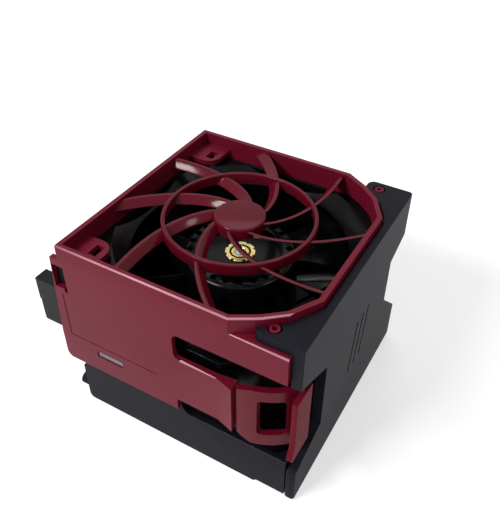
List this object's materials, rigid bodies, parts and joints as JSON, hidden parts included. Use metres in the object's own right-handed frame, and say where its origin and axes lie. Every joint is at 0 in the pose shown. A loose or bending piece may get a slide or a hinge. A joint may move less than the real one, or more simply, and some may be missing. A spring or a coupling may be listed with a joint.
{
  "type": "server fan module",
  "caption": "Hot-swap axial fan in a carrier with a swirled finger guard, a blind-mate connector and a sprung squeeze latch.",
  "frame": {"origin": "on the rotor's axis, in the outlet face that the module stands on", "axes": "+Z along the rotor's axis from the outlet to the inlet guard, -Y towards the latch face, +X towards the plain side wall"},
  "size_m": [0.0781, 0.07, 0.058],
  "materials": {
    "maroon_plastic": "satin moulded",
    "black_plastic": "fine-grained moulded",
    "bearing_steel": "ground",
    "lamination_steel": "stamped",
    "winding_copper": "enamelled copper",
    "board_laminate": "solder mask",
    "chip_plastic": "moulded",
    "turned_brass": "turned",
    "spring_steel": "drawn",
    "plated_steel": "zinc plated",
    "ferrite": "pressed ferrite",
    "connector_plastic": "glass-filled",
    "contact_brass": "plated",
    "lead_insulation": "insulation"
  },
  "bodies": {
    "module": {"inlet_cover": "maroon_plastic", "finger_guard": "maroon_plastic", "latch_spring": "maroon_plastic", "side_wall": "black_plastic", "carrier_tray": "black_plastic", "outlet_guard": "black_plastic", "fan_housing": "black_plastic", "bearing_tube": "black_plastic", "bearing_outer_races": "bearing_steel", "stator_core": "lamination_steel", "stator_coils": "winding_copper", "circuit_board": "board_laminate", "board_chips": "chip_plastic", "connector_housing": "connector_plastic", "connector_contacts": "contact_brass", "lead_bundle": "lead_insulation"},
    "rotor": {"impeller": "black_plastic", "rotor_yoke": "plated_steel", "magnet_ring": "ferrite", "rotor_bush": "turned_brass", "shaft": "bearing_steel", "shaft_clip": "spring_steel", "preload_spring": "spring_steel", "bearing_inner_races": "bearing_steel"},
    "latch": {"release_tab": "maroon_plastic"}
  },
  "joints": [
    {"name": "rotor_spin", "type": "hinge", "parent": "module", "child": "rotor", "pos_m": [0, 0, 0], "axis": [0, 0, 1], "continuous": true},
    {"name": "latch_squeeze", "type": "slide", "parent": "module", "child": "latch", "axis": [-1, 0, 0], "range_m": [0, 0.002], "stiffness_N_per_m": 2000, "deforming": ["latch_spring"]}
  ]
}
